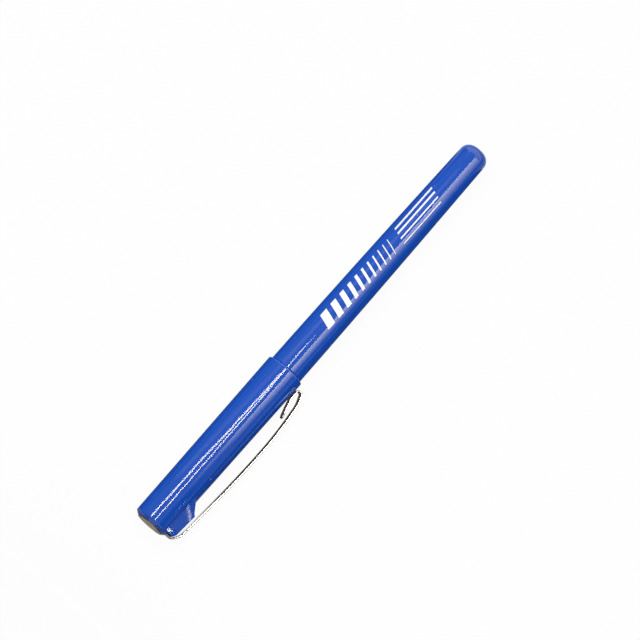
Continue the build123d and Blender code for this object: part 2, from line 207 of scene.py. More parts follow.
class Finishes(bpy.types.PropertyGroup):
    """Colours of the pen's materials"""

    plastic: colour("Plastic", "Blue of the cap and the barrel", 0.004, 0.075, 0.47)
    plastic_deep: colour("Plastic, deep", "Darker blue in the plastic's cloudiness", 0.003, 0.066, 0.43)
    # Painted light, not rubbing: this paler blue lights a thin band at the cap's mouth, where shade falls
    # in the gap between cap and barrel.
    plastic_painted_light: colour("Plastic, rubbed", "Paler blue where the cap's mouth rubs", 0.05, 0.19, 0.72)
    plastic_gloss: colour("Plastic, gloss", "Warm cast of the plastic's gloss", 1.0, 0.9, 0.54)
    dust: colour("Dust", "Dust on the plastic", 0.5, 0.5, 0.52)
    steel: colour("Steel", "Clip and point sleeve", 0.74, 0.71, 0.68)
    # Painted reflection and shade, not a rolled edge: this near-black is painted along the clip's rounded
    # long edges and over its tab.
    steel_painted_dark_edge: colour("Steel, edge", "Rolled long edges of the clip", 0.014, 0.011, 0.009)
    button: colour("Button", "Metal button in the crown", 0.43, 0.405, 0.385)
    button_stain: colour("Button stain", "Brown bloom on the button", 0.31, 0.225, 0.15)
    # Painted shade, not a dull rolled edge: this dark colour on the button's rounded rim stands in for
    # shade there and hides its bright reflection.
    button_painted_dark_edge: colour("Button edge", "Dull rolled edge of the button", 0.07, 0.065, 0.06)
    ink_white: colour("Printing ink", "White ink of the marks", 0.82, 0.84, 0.87)
    holder: colour("Holder", "Black plastic of the nib holder", 0.014, 0.014, 0.017)
    liner: colour("Liner", "Natural plastic of the inner cap", 0.72, 0.72, 0.69)
    nib: colour("Nib", "Inked plastic of the point", 0.012, 0.03, 0.16)
    fibre: colour("Fibre", "Inked fibre of the wick and the ink store", 0.02, 0.05, 0.3)
    film: colour("Film", "Film round the ink store", 0.8, 0.8, 0.8)


class StudioSizes(bpy.types.PropertyGroup):
    """Camera, floor and lamp"""

    lean: angle("Camera lean", "Lean of the view towards the cap's end", 9.157)
    side: angle("Camera side", "Lean of the view towards the clip", 15.7)
    turn: angle("Camera turn", "Turn of the pen in the picture", 48.655)
    distance: length("Camera distance", "Distance of the camera", 1800)
    frame_width: length("Frame width", "Width that the picture takes in", 172.69)
    shift_right: length("Frame right", "Way from the rim to the picture's middle, to the right", 45.521)
    shift_up: length("Frame up", "Way from the rim to the picture's middle, upwards", 54.745)
    floor_size: length("Floor size", "Side of the floor", 3000)
    floor_colour: colour("Floor", "Pale floor", 0.74, 0.74, 0.74)
    floor_glow: amount("Floor glow", "Share of plain white in the floor's picture", 0.95, subtype="FACTOR")
    room_light: amount("Room light", "Soft light from all round", 0.44)
    lamp_size: length("Lamp size", "Side of the soft lamp overhead", 700)
    lamp_height: length("Lamp height", "Height of the soft lamp", 800)
    lamp_side: length("Lamp side", "Distance of the soft lamp from the pen, away from the clip", 90)
    lamp_power: amount("Lamp power", "Power of the soft lamp", 5.9, unit="POWER")


class Socket:
    """An output of a node, with arithmetic that adds Math nodes."""

    def __init__(self, tree, output):
        self.tree = tree
        self.output = output

    def feed(self, target):
        """Links this output to an input."""
        self.tree.links.new(self.output, target)

    def other(self, name):
        """Another output of the same node."""
        return Socket(self.tree, self.output.node.outputs[name])

    def math(self, operation, *operands):
        """A Math node on sockets and numbers."""
        made = self.tree.nodes.new("ShaderNodeMath")
        made.operation = operation
        for target, operand in zip(made.inputs, operands):
            give(target, operand)
        return Socket(self.tree, made.outputs[0])

    def __add__(self, operand):
        return self.math("ADD", self, operand)

    def __sub__(self, operand):
        return self.math("SUBTRACT", self, operand)

    def __rsub__(self, operand):
        return self.math("SUBTRACT", operand, self)

    def __mul__(self, operand):
        return self.math("MULTIPLY", self, operand)

    def __lt__(self, operand):
        return self.math("LESS_THAN", self, operand)

    def __gt__(self, operand):
        return self.math("GREATER_THAN", self, operand)

    __radd__ = __add__
    __rmul__ = __mul__


def give(target, value):
    """Links or sets an input socket."""
    if isinstance(value, Socket):
        value.feed(target)
    elif hasattr(value, "__len__") and len(value) == 3 and len(target.default_value) == 4:
        target.default_value = (*value, 1)
    else:
        target.default_value = value


class NodeTree:
    """A node tree under construction: a material's or the world's."""

    def __init__(self, owner):
        owner.use_nodes = True
        self.tree = owner.node_tree
        self.tree.nodes.clear()

    def node(self, kind, settings, sockets):
        """Adds a node: its settings first, then the values or links of its sockets."""
        made = self.tree.nodes.new(kind)
        for name, value in settings.items():
            if name == "stops":
                for element, (position, shade) in zip(made.color_ramp.elements, value):
                    element.position = position
                    element.color = shade
            else:
                setattr(made, name, value)
        for name, value in sockets.items():
            named = [i for i in made.inputs if i.enabled and i.name == name]
            give(named[0] if named else made.inputs[name], value)
        return Socket(self.tree, next((o for o in made.outputs if o.enabled), None))

    def mix(self, share, first, second):
        """A colour between two colours."""
        sockets = {"Factor": share, "A": first, "B": second}
        return self.node("ShaderNodeMix", {"data_type": "RGBA"}, sockets)


class Finish(NodeTree):
    """A material with one Principled shader."""

    def __init__(self, name):
        self.material = bpy.data.materials.new(name)
        super().__init__(self.material)
        self.place = self.node("ShaderNodeTexCoord", {}, {}).other("Object")

    def scaled(self, x, y, z):
        """The piece's own coordinates, in cycles per millimetre along each axis."""
        scale = Vector((x, y, z)) / MM
        return self.node("ShaderNodeVectorMath", {"operation": "MULTIPLY"}, {0: self.place, 1: scale})

    def noise(self, x, y, z, detail=2.0, roughness=0.5):
        """Cloudy values from 0 to 1."""
        sockets = {"Vector": self.scaled(x, y, z), "Scale": 1.0, "Detail": detail, "Roughness": roughness}
        return self.node("ShaderNodeTexNoise", {}, sockets)

    def specks(self, cell, share, size):
        """A mask of round specks: cell in millimetres, share of cells, size as part of a cell."""
        sockets = {"Vector": self.scaled(1 / cell, 1 / cell, 1 / cell), "Scale": 1.0}
        cells = self.node("ShaderNodeTexVoronoi", {}, sockets)
        chance = self.node("ShaderNodeSeparateColor", {}, {"Color": cells.other("Color")})
        return (cells < chance.other("Green") * size) * (chance < share)

    def bump(self, height):
        """A normal from a height in metres."""
        return self.node("ShaderNodeBump", {}, {"Strength": 1.0, "Distance": 1.0, "Height": height})

    def shade(self, sockets):
        """Ends the material in its shader."""
        shader = self.node("ShaderNodeBsdfPrincipled", {}, sockets)
        self.node("ShaderNodeOutputMaterial", {}, {"Surface": shader})
        return self.material


def shaded(tone, share):
    """A colour made darker or lighter."""
    return tuple(part * share for part in tone)


def patterned(name, tone, shade, cells, detail, roughness, spread, height, metallic=0.0):
    """A material whose colour, gloss and surface follow one cloudy pattern; height in microns."""
    finish = Finish(name)
    cloud = finish.noise(*cells, detail=detail)
    return finish.shade({
        "Base Color": finish.mix(cloud, tone, shaded(tone, shade)),
        "Metallic": metallic,
        "Roughness": cloud * spread + roughness,
        "Normal": finish.bump(cloud * (height * MICRON)),
    })


def blue_plastic(look, name="pen_blue_plastic", swell_height=30):
    """Glossy moulded plastic: slow swells, which make highlights waver, fine peel, dust and haze, and a
    thin band of painted light at the cap's mouth.
    """
    steady_length = 14 * MM
    painted_light_width = 0.3 * MM
    finish = Finish(name)
    cloud = finish.noise(0.05, 0.09, 0.09)
    dust = finish.specks(cell=2.6, share=0.6, size=0.075)
    fluff = finish.specks(cell=1.1, share=0.3, size=0.07)
    along = finish.node("ShaderNodeSeparateXYZ", {}, {"Vector": finish.place})
    from_mouth = (CAP_HIGH.x - along) * (1 / steady_length)
    on_cap = along.math("MAXIMUM", along.math("MINIMUM", from_mouth, 1), 0)
    waver = on_cap * 0.6 + 0.4
    # Painted light: a thin band round the cap's mouth, where shade falls in the gap, is given the paler
    # blue.
    painted_light = (along < CAP_HIGH.x + painted_light_width) * (along > CAP_HIGH.x - painted_light_width)
    swell = finish.noise(0.1, 0.1, 0.1, detail=0.0) * waver * (swell_height * MICRON)
    ripple = finish.noise(0.6, 0.5, 0.5, detail=1.0) * waver * (0.4 * MICRON)
    peel = finish.noise(4.0, 4.0, 4.0) * (0.1 * MICRON)
    haze = finish.noise(0.3, 1.6, 1.6, detail=4.0)
    blue = finish.mix(cloud, look.plastic, look.plastic_deep)
    blue_with_painted_light = finish.mix(painted_light * 0.65, blue, look.plastic_painted_light)
    return finish.shade({
        "Base Color": finish.mix((dust + fluff) * 0.75, blue_with_painted_light, look.dust),
        "Roughness": haze * 0.03 + 0.045 + dust * 0.4,
        "Normal": finish.bump(swell + ripple + peel + dust * (12 * MICRON)),
        "Specular IOR Level": 0.26,
        "Specular Tint": look.plastic_gloss,
    })


def boss_plastic(look):
    """The same plastic on the boss, whose flanks are flat."""
    return blue_plastic(look, "pen_boss_plastic", 0)


def clip_steel(look):
    """Polished strip: fine drawing lines along it, faint warm cast and tiny pits; a near-black painted
    along its rounded long edges and over its tab stands in for dark reflections and shade.
    """
    finish = Finish("pen_clip_steel")
    lines = finish.noise(0.04, 9.0, 9.0, detail=3.0)
    pits = finish.specks(cell=0.9, share=0.12, size=0.08)
    cast = finish.noise(0.25, 0.6, 0.6)
    rim = finish.node("ShaderNodeAttribute", {"attribute_name": "rim"}, {}).other("Fac")
    warm = tuple(part * warmth for part, warmth in zip(look.steel, (0.98, 0.93, 0.88)))
    return finish.shade({
        "Base Color": finish.mix(rim, finish.mix(cast, look.steel, warm), look.steel_painted_dark_edge),
        "Metallic": 1.0,
        "Roughness": lines * 0.1 + 0.06 + pits * 0.3,
        "Normal": finish.bump(lines * (0.6 * MICRON) - pits * (4 * MICRON)),
    })


def button_metal(look):
    """Satin button: turning rings round its middle, a brown bloom, and a rim painted dark as shade, which
    also hides the rim's bright reflection.
    """
    ring_pitch = 0.22 * MM
    face_r = 3.98 * MM
    finish = Finish("pen_button_metal")
    bloom = finish.noise(0.5, 0.5, 0.5, detail=4.0, roughness=0.6)
    stops = [(0.42, (*BLACK, 1)), (0.62, (*WHITE, 1))]
    stains = finish.node("ShaderNodeValToRGB", {"stops": stops}, {"Fac": bloom})
    from_rim = finish.node("ShaderNodeVectorMath", {"operation": "SUBTRACT"}, {0: finish.place, 1: RIM})
    from_axis = finish.node("ShaderNodeVectorMath", {"operation": "MULTIPLY"}, {0: from_rim, 1: (0, 1, 1)})
    radius = finish.node("ShaderNodeVectorMath", {"operation": "LENGTH"}, {0: from_axis})
    turned = radius * (tau / ring_pitch)
    rings = turned.math("SINE", turned)
    grain = finish.noise(6.0, 6.0, 6.0, detail=3.0)
    face = finish.mix(stains, look.button, look.button_stain)
    return finish.shade({
        # Painted shade: beyond face_r the button's colour turns dark.
        "Base Color": finish.mix(radius > face_r, face, look.button_painted_dark_edge),
        "Metallic": 0.9,
        "Roughness": grain * 0.2 + 0.34,
        "Normal": finish.bump(rings * (1.2 * MICRON) + grain * (2 * MICRON)),
    })


def printing_ink(look):
    """White ink: faint mottle and a dry, slightly uneven film."""
    return patterned(
        "pen_printing_ink", look.ink_white, shade=0.9, cells=(2.5, 2.5, 2.5), detail=4.0,
        roughness=0.35, spread=0.2, height=2,
    )


def holder_plastic(look):
    """Satin black plastic: fine spark texture and shinier patches of wear."""
    finish = Finish("pen_holder_plastic")
    grain = finish.noise(7.0, 7.0, 7.0, detail=3.0)
    wear = finish.noise(0.15, 0.4, 0.4)
    return finish.shade({
        "Base Color": finish.mix(wear, look.holder, shaded(look.holder, 1.6)),
        "Roughness": wear * 0.16 + 0.3 + grain * 0.08,
        "Normal": finish.bump(grain * (3 * MICRON)),
    })


def liner_plastic(look):
    """Natural soft plastic: slight cloudiness and a soft sheen."""
    finish = Finish("pen_liner_plastic")
    cloud = finish.noise(0.3, 0.3, 0.3, detail=3.0)
    return finish.shade({
        "Base Color": finish.mix(cloud, look.liner, shaded(look.liner, 0.9)),
        "Roughness": cloud * 0.2 + 0.32,
        "Normal": finish.bump(finish.noise(3.0, 3.0, 3.0) * (2 * MICRON)),
    })


def sleeve_steel(look):
    """Drawn tube: lines along it and bright steel."""
    return patterned(
        "pen_sleeve_steel", look.steel, shade=0.88, cells=(0.1, 14.0, 14.0), detail=3.0,
        roughness=0.14, spread=0.2, height=0.8, metallic=1.0,
    )


def nib_plastic(look):
    """Inked point: dark, slightly uneven."""
    return patterned(
        "pen_nib_plastic", look.nib, shade=1.8, cells=(1.5, 3.0, 3.0), detail=3.0,
        roughness=0.35, spread=0.25, height=3,
    )


def inked_fibre(look):
    """Bundled fibre: fine strands along the pen."""
    return patterned(
        "pen_inked_fibre", look.fibre, shade=1.7, cells=(0.2, 11.0, 11.0), detail=4.0,
        roughness=0.7, spread=0.2, height=12,
    )


def clear_film(look):
    """Thin wrap: glossy, with slack wrinkles."""
    return patterned(
        "pen_clear_film", look.film, shade=0.9, cells=(0.2, 0.7, 0.7), detail=3.0,
        roughness=0.12, spread=0.15, height=30,
    )


def material_of(make):
    """The material that a function makes, made once."""
    if make.__name__ not in MADE:
        MADE[make.__name__] = make(bpy.context.scene.pen_finishes)
    return MADE[make.__name__]


def dress_nodes(make, *nodes):
    """Gives CAD nodes that stay in view a material."""
    for node in nodes:
        slots = frame["nodes"][node].data.materials
        slots.clear()
        slots.append(material_of(make))


def settled(name, mesh):
    """A mesh from a finished bmesh."""
    data = bpy.data.meshes.new(name)
    mesh.to_mesh(data)
    mesh.free()
    return data


def show(name, data):
    """An object in the scene."""
    made = bpy.data.objects.new(name, data)
    bpy.context.scene.collection.objects.link(made)
    return made


def piece(name, mesh, body, make, node=None):
    """Turns a finished bmesh into a smooth piece that rides on a body and may stand for a CAD node."""
    bmesh.ops.recalc_face_normals(mesh, faces=mesh.faces)
    data = settled(name, mesh)
    data.shade_smooth()
    data.set_sharp_from_angle(angle=SHARP_ANGLE)
    data.materials.append(material_of(make))
    made = show(name, data)
    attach(made, body)
    if node:
        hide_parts(node)
    return made


def between(first, last, share):
    """A value between two values."""
    return first + (last - first) * share


def spaced(first, last, steps):
    """Values from first to last, at even steps."""
    return [between(first, last, i / steps) for i in range(steps + 1)]


def filled(stations, steps):
    """Stations with further ones between them."""
    pairs = zip(stations, stations[1:])
    return [Vector(a).lerp(Vector(b), share) for a, b in pairs for share in spaced(0, 1, steps)]


def rounded(corners, radii, steps=10):
    """A path through corners in the plane, with each inner corner rounded by its radius."""
    corners = [Vector(corner) for corner in corners]
    path = [corners[0]]
    for before, corner, after, radius in zip(corners, corners[1:], corners[2:], radii):
        back = (before - corner).normalized()
        on = (after - corner).normalized()
        half = back.angle(on) / 2
        centre = corner + (back + on).normalized() * (radius / sin(half))
        start = corner + back * (radius / tan(half)) - centre
        end = corner + on * (radius / tan(half)) - centre
        first = atan2(start.y, start.x)
        sweep = remainder(atan2(end.y, end.x) - first, tau)
        for turn in spaced(first, first + sweep, steps):
            path.append(centre + Vector((cos(turn), sin(turn))) * radius)
    path.append(corners[-1])
    return path


def place(s, out, side=0.0):
    """A point from its distance along the axis, towards the clip and to the clip's side."""
    return RIM + ALONG * s + CLIP_OUT * out + CLIP_SIDE * side


def circle(mesh, s, r, turns):
    """Vertices round the axis, counted from the clip."""
    return [mesh.verts.new(place(s, r * cos(turn), r * sin(turn))) for turn in turns]


def bridge(mesh, first, second):
    """Faces between two rings of vertices; a ring may be one vertex, repeated."""
    for a, b, c, d in zip(first, first[1:] + first[:1], second[1:] + second[:1], second):
        corners = list(dict.fromkeys((a, b, c, d)))
        if len(corners) > 2:
            mesh.faces.new(corners)


def loft(mesh, rings):
    """Faces between neighbouring rings, and one over each end."""
    for first, second in zip(rings, rings[1:]):
        bridge(mesh, first, second)
    mesh.faces.new(rings[0])
    mesh.faces.new(rings[-1])


def fill(mesh, grid):
    """Faces over rows of vertices."""
    for first, second in zip(grid, grid[1:]):
        for corners in zip(first, first[1:], second[1:], second):
            mesh.faces.new(corners)


def lathe(profile, sides=160):
    """A turned solid, from a profile of (s, r) that begins and ends on the axis."""
    mesh = bmesh.new()
    rings = []
    for s, r in profile:
        if r < MICRON:
            rings.append([mesh.verts.new(place(s, 0))] * sides)
        else:
            rings.append(circle(mesh, s, r, spaced(0, tau, sides)[:-1]))
    for first, second in zip(rings, rings[1:]):
        bridge(mesh, first, second)
    return mesh


def arm_line(cap, clip):
    """The bow's start, peak and end, along the outer face of the strip."""
    tip = CAP_LENGTH - clip.tip_setback
    peak_r = cap.mouth_d / 2 + clip.peak_height
    end_s = tip - clip.curl_length - clip.fall_run
    peak_s = end_s - clip.fall_radius * sin(clip.fall_angle)
    start = Vector((
        peak_s - clip.rise_radius * sin(clip.rise_angle),
        peak_r - clip.rise_radius * (1 - cos(clip.rise_angle)),
    ))
    end = Vector((end_s, peak_r - clip.fall_radius * (1 - cos(clip.fall_angle))))
    return start, Vector((peak_s, peak_r)), end


def arm_r(s, cap, clip):
    """Distance of the straight arm's outer face from the axis."""
    start = arm_line(cap, clip)[0]
    return start.y - (start.x - s) * tan(clip.rise_angle)


def boss_flank(scene):
    """The foot and the upper edge of the boss's flank: out towards the clip, and to its side."""
    boss = scene.pen_boss
    clip = scene.pen_clip
    foot_r = scene.pen_cap.end_d / 2 - boss.foot_depth
    foot = Vector((foot_r * cos(boss.foot_angle), foot_r * sin(boss.foot_angle)))
    top_r = arm_r(boss.reach, scene.pen_cap, clip) - clip.thickness - boss.clip_gap
    return foot, Vector((top_r, boss.top_width / 2))


class PEN_OT_cap(bpy.types.Operator):
    """Builds the cap's tube and the boss under the clip"""

    bl_idname = "pen.cap"
    bl_label = "Cap"

    def execute(self, context):
        cap = context.scene.pen_cap
        piece("cap_tube", self.tube(cap), "cap", blue_plastic, "cap_shell")
        boss = piece("clip_boss", self.boss(context.scene), "cap", boss_plastic)
        soften = boss.modifiers.new("soft_edges", "BEVEL")
        soften.width = context.scene.pen_boss.crease_round
        soften.segments = 3
        soften.angle_limit = CREASE_ANGLE
        soften.harden_normals = True
        flatten = boss.modifiers.new("flat_flanks", "WEIGHTED_NORMAL")
        flatten.keep_sharp = True
        flatten.weight = 100
        return {"FINISHED"}

    def tube(self, cap):
        """A drafted tube with a notch in its closed end for the clip."""
        def outer_r(s):
            return between(cap.end_d, cap.mouth_d, s / CAP_LENGTH) / 2

        def bore_r(s):
            return between(cap.bore_end_d, cap.bore_mouth_d, s / CAP_LENGTH) / 2

        side_steps = 60
        notch_steps = 8
        wall_steps = 152
        depth = cap.notch_depth
        rim_middle = (cap.bore_end_d + cap.end_d) / 4
        front = rounded([(0, rim_middle), (0, outer_r(0)), (depth, outer_r(depth))], [cap.rim_round])
        stations = spaced(depth, CAP_LENGTH - 2 * cap.mouth_round, side_steps)[1:]
        side = [(s, outer_r(s)) for s in stations]
        lip = (CAP_LENGTH, bore_r(CAP_LENGTH) + cap.mouth_lead)
        mouth = rounded([side[-1], (CAP_LENGTH, outer_r(CAP_LENGTH)), lip], [cap.mouth_round])
        lead_end = (CAP_LENGTH - cap.mouth_lead, bore_r(CAP_LENGTH))
        inside = [lead_end, (depth, bore_r(depth)), (0, bore_r(0))]
        profile = [Vector(p) for p in (*front, *side, *mouth[1:], *inside)]
        mesh = bmesh.new()
        rings = []
        for s, r in profile:
            edge = asin(cap.notch_width / 2 / r)
            turns = spaced(-edge, edge, notch_steps)[:-1] + spaced(edge, tau - edge, wall_steps)[:-1]
            rings.append(circle(mesh, s, r, turns))
        in_notch = [s <= depth + MICRON for s, r in profile]
        for i, ring in enumerate(rings):
            following = rings[(i + 1) % len(rings)]
            cut = in_notch[i] and in_notch[(i + 1) % len(rings)]
            for j in range(notch_steps if cut else 0, len(ring)):
                k = (j + 1) % len(ring)
                mesh.faces.new((ring[j], ring[k], following[k], following[j]))
        cut_rings = [ring for ring, cut in zip(rings, in_notch) if cut]
        outer = cut_rings[len(front) - 1]
        inner = cut_rings[len(front)]
        for j in range(notch_steps):
            mesh.faces.new((outer[j], outer[j + 1], inner[j + 1], inner[j]))
        for j in (0, notch_steps):
            mesh.faces.new([ring[j] for ring in cut_rings])
        return mesh

    def boss(self, scene):
        """A wedge with sloping flanks, rooted in the cap's wall."""
        cap = scene.pen_cap
        clip = scene.pen_clip
        boss = scene.pen_boss

        def top(s):
            return arm_r(s, cap, clip) - clip.thickness - boss.clip_gap

        foot, peak = boss_flank(scene)
        root_r = cap.end_d / 2 - boss.root_depth
        corner_s = cap.notch_depth + boss.corner_run
        low = foot.x + 2 * boss.foot_depth
        nose_end = boss.reach + (peak.x - low) / tan(boss.nose_angle)
        stations = [
            (cap.notch_depth, top(corner_s) - boss.corner_drop, boss.edge_round),
            (corner_s, top(corner_s), boss.edge_round),
            (boss.reach, peak.x, boss.edge_round),
        ]
        nose_steps = 14
        for share in spaced(0, 1, nose_steps)[1:]:
            grown = min(1, share * nose_steps / 2)
            stations.append((
                between(boss.reach, nose_end, share),
                between(peak.x, low, share),
                between(boss.edge_round, boss.nose_round, grown),
            ))
        root_steps = 12
        root_turns = spaced(-boss.foot_angle, boss.foot_angle, root_steps)
        root = [Vector((root_r * cos(turn), root_r * sin(turn))) for turn in root_turns]
        mesh = bmesh.new()
        rings = []
        for s, out, rounding in stations:
            corner = foot.lerp(peak, (out - foot.x) / (peak.x - foot.x))
            rounding = min(rounding, (corner - foot).length / 2)
            half = []
            for p in rounded([foot, corner, (out, 0)], [rounding], steps=6):
                lowest = sqrt(max(root_r ** 2 - p.y ** 2, 0)) + boss.foot_depth / 4
                half.append(Vector((max(p.x, lowest), p.y)))
            ring = half + [Vector((p.x, -p.y)) for p in half[-2::-1]] + root
            rings.append([mesh.verts.new(place(s, p.x, p.y)) for p in ring])
        loft(mesh, rings)
        return mesh


class PEN_OT_crown(bpy.types.Operator):
    """Builds the metal button and finishes the plug that carries it"""

    bl_idname = "pen.crown"
    bl_label = "Crown"

    def execute(self, context):
        cap = context.scene.pen_cap
        dress_nodes(blue_plastic, "crown_plug")
        radius = cap.disc_d / 2
        edge_s = -cap.disc_seat - cap.disc_thickness
        shoulder = radius - cap.disc_round
        dome_steps = 14
        dome = []
        for share in spaced(0, 1, dome_steps)[:-1]:
            dome.append((edge_s - cap.disc_dome * (1 - share ** 2), shoulder * share))
        corners = [(edge_s, shoulder - cap.disc_round), (edge_s, radius), (-cap.disc_seat, radius)]
        edge = rounded(corners, [cap.disc_round], steps=6)
        pin_end = cap.pin_length - cap.disc_seat
        pin = [(-cap.disc_seat, cap.pin_d / 2), (pin_end, cap.pin_d / 2), (pin_end, 0)]
        profile = [Vector(p) for p in (*dome, *edge[1:], *pin)]
        piece("crown_button", lathe(profile), "cap", button_metal, "crown_disc")
        return {"FINISHED"}


class PEN_OT_clip(bpy.types.Operator):
    """Builds the steel strip: hook, tab, bowed arm and curl"""

    bl_idname = "pen.clip"
    bl_label = "Pocket clip"
    edge_steps = 4

    def execute(self, context):
        cap = context.scene.pen_cap
        clip = context.scene.pen_clip
        mesh = self.strip(self.line(cap, clip), clip)
        piece("clip_strip", mesh, "clip", clip_steel, "pocket_clip")
        return {"FINISHED"}

    def line(self, cap, clip):
        """The strip's outer face, seen from its side, from the hook to the free end."""
        start, peak, end = arm_line(cap, clip)
        chord = sqrt((cap.bore_end_d / 2) ** 2 - (clip.width / 2) ** 2)
        hook_r = chord - clip.hook_gap - clip.thickness
        corner_s = clip.sink + clip.corner_run
        root = rounded(
            [
                (clip.hook_length, hook_r),
                (clip.sink, hook_r),
                (clip.sink, arm_r(clip.sink, cap, clip) - clip.corner_drop),
                (corner_s, arm_r(corner_s, cap, clip)),
                start,
            ],
            [clip.hook_bend, clip.corner_bend, clip.arm_bend],
        )
        bow_steps = 20
        bow = []
        for turn in spaced(clip.rise_angle, 0, bow_steps)[1:]:
            bow.append(peak - Vector((sin(turn), 1 - cos(turn))) * clip.rise_radius)
        for turn in spaced(0, clip.fall_angle, bow_steps)[1:]:
            bow.append(peak + Vector((sin(turn), cos(turn) - 1)) * clip.fall_radius)
        tip = CAP_LENGTH - clip.tip_setback
        curl_r = cap.mouth_d / 2 + clip.curl_gap
        curl = rounded(
            [
                end,
                (tip - clip.curl_length, end.y - clip.fall_run * tan(clip.fall_angle)),
                (tip, curl_r + 2 * clip.curl_radius - clip.curl_flattening),
                (tip, curl_r),
                (tip - clip.foot_length, curl_r),
                (tip - clip.return_length, curl_r + clip.return_height),
            ],
            [clip.curl_ease, clip.curl_radius, clip.curl_radius, clip.foot_radius],
        )
        return root + bow + curl[1:]

    def strip(self, line, clip):
        """A strip with rounded edges along the line, and with a rounded free end."""
        end_round = clip.width / 2 - clip.end_flat
        end_steps = 10
        free = line[-1]
        away = (line[-2] - free).normalized()
        stations = [(point, clip.width / 2) for point in line[:-1]]
        for turn in spaced(pi / 2, 0, end_steps):
            back = end_round * sin(turn)
            half = clip.end_flat + sqrt(end_round ** 2 - (end_round - back) ** 2)
            stations.append((free + away * back, half))
        mesh = bmesh.new()
        # The rim layer says where the steel is painted dark: fully at the middle of each rounded long edge
        # and at least half over the tab, fading out along the corner's slope, as painted dark reflections
        # and shade.
        rim = mesh.verts.layers.float.new("rim")
        rings = []
        for i, (point, half) in enumerate(stations):
            before = stations[max(i - 1, 0)][0]
            after = stations[min(i + 1, len(stations) - 1)][0]
            on = (after - before).normalized()
            inward = Vector((on.y, -on.x))
            tab = max(0, 1 - (point.x - clip.sink) / clip.corner_run)
            ring = []
            for j, (depth, side) in enumerate(self.section(half, clip)):
                at = point + inward * depth
                vertex = mesh.verts.new(place(at.x, at.y, side))
                round_edge = j % (self.edge_steps + 1) / self.edge_steps
                vertex[rim] = max(sqrt(sin(pi * round_edge)), 0.5 * tab)
                ring.append(vertex)
            rings.append(ring)
        loft(mesh, rings)
        return mesh

    def section(self, half, clip):
        """The strip's cross-section: depth under its outer face, and distance to the side."""
        r = min(clip.edge_round, half / 2)
        t = clip.thickness
        corners = [(0, 0), (0, half), (t, half), (t, -half), (0, -half), (0, 0)]
        return [(p.x, p.y) for p in rounded(corners, [r, r, r, r], self.edge_steps)[1:-1]]


class PEN_OT_barrel(bpy.types.Operator):
    """Builds the barrel"""

    bl_idname = "pen.barrel"
    bl_label = "Barrel"

    def execute(self, context):
        barrel = context.scene.pen_barrel
        socket_end = BARREL_FRONT + barrel.socket_depth
        bore_end = BARREL_TAIL - barrel.tail_floor
        socket_r = barrel.front_d / 2 - barrel.socket_wall
        side_steps = 60
        first = BARREL_FRONT + 2 * barrel.shoulder_round
        last = BARREL_TAIL - 2 * barrel.tail_round
        side = [(s, barrel_r(s, barrel)) for s in spaced(first, last, side_steps)]
        front_edge = (BARREL_FRONT, barrel_r(BARREL_FRONT, barrel))
        shoulder = rounded([(BARREL_FRONT, socket_r), front_edge, side[0]], [barrel.shoulder_round])
        tail_edge = (BARREL_TAIL, barrel_r(BARREL_TAIL, barrel))
        tail = rounded([side[-1], tail_edge, (BARREL_TAIL, 0)], [barrel.tail_round], steps=24)
        bore = [
            (bore_end, 0),
            (bore_end, barrel.tail_d / 2 - barrel.tail_wall),
            (socket_end, barrel.front_d / 2 - barrel.front_wall),
            (socket_end, socket_r),
        ]
        profile = [Vector(p) for p in (*bore, *shoulder, *side[1:-1], *tail)]
        piece("barrel_tube", lathe(profile), "pen", blue_plastic, "barrel")
        return {"FINISHED"}


def barrel_r(s, barrel):
    """Outer radius of the barrel, which bulges a little between its ends."""
    share = (s - BARREL_FRONT) / (BARREL_TAIL - BARREL_FRONT)
    straight = between(barrel.front_d, barrel.tail_d, share) / 2
    return straight + 4 * barrel.bow * share * (1 - share)


class PEN_OT_marks(bpy.types.Operator):
    """Prints the barrel: bars from broad to fine, then ruled lines"""

    bl_idname = "pen.marks"
    bl_label = "Printed marks"

    def execute(self, context):
        barrel = context.scene.pen_barrel
        up = atan2(CLIP_SIDE.z, CLIP_OUT.z)
        self.middle = up - copysign(barrel.mark_turn, up)
        mesh = bmesh.new()
        s = BARREL_FRONT + barrel.mark_start
        half = barrel.mark_height / 2
        shrink = (barrel.mark_narrowest / barrel.mark_widest) ** (1 / (barrel.mark_count - 1))
        for i in range(barrel.mark_count):
            width = barrel.mark_widest * shrink ** i
            self.patch(mesh, barrel, (s, s + width), (-half, half))
            s += width + barrel.mark_gap
        s += barrel.rule_gap - barrel.mark_gap
        pitch = barrel.mark_height / (barrel.rule_count - 1)
        for i in range(barrel.rule_count):
            across = half - pitch * i
            thick = barrel.mark_narrowest * (1 + i / 2)
            self.patch(mesh, barrel, (s, s + barrel.rule_length), (across - thick, across))
        piece("line_marks", mesh, "pen", printing_ink)
        return {"FINISHED"}

    def patch(self, mesh, barrel, along, across):
        """A closed film of ink on the barrel, slanted like the bars."""
        steps = 12
        rims = []
        for film in (barrel.ink_film, -barrel.ink_film):
            grid = []
            for start in spaced(*along, steps):
                row = []
                for width in spaced(*across, steps):
                    s = start + width * tan(barrel.mark_slant)
                    r = barrel_r(s, barrel)
                    turn = self.middle + width / r
                    row += circle(mesh, s, r + film, [turn])
                grid.append(row)
            fill(mesh, grid)
            last_side = [row[-1] for row in grid[:-1]]
            first_side = [row[0] for row in grid[:0:-1]]
            rims.append(grid[0][:-1] + last_side + grid[-1][:0:-1] + first_side)
        bridge(mesh, *rims)


class PEN_OT_inside(bpy.types.Operator):
    """Finishes the point, its holder, the cap's liner and the ink store"""

    bl_idname = "pen.inside"
    bl_label = "Point and ink store"

    def execute(self, context):
        dress_nodes(holder_plastic, "nib_holder")
        dress_nodes(sleeve_steel, "point_sleeve")
        dress_nodes(nib_plastic, "nib")
        dress_nodes(liner_plastic, "inner_cap")
        dress_nodes(inked_fibre, "feed_wick", "ink_reservoir")
        dress_nodes(clear_film, "reservoir_wrap")
        return {"FINISHED"}


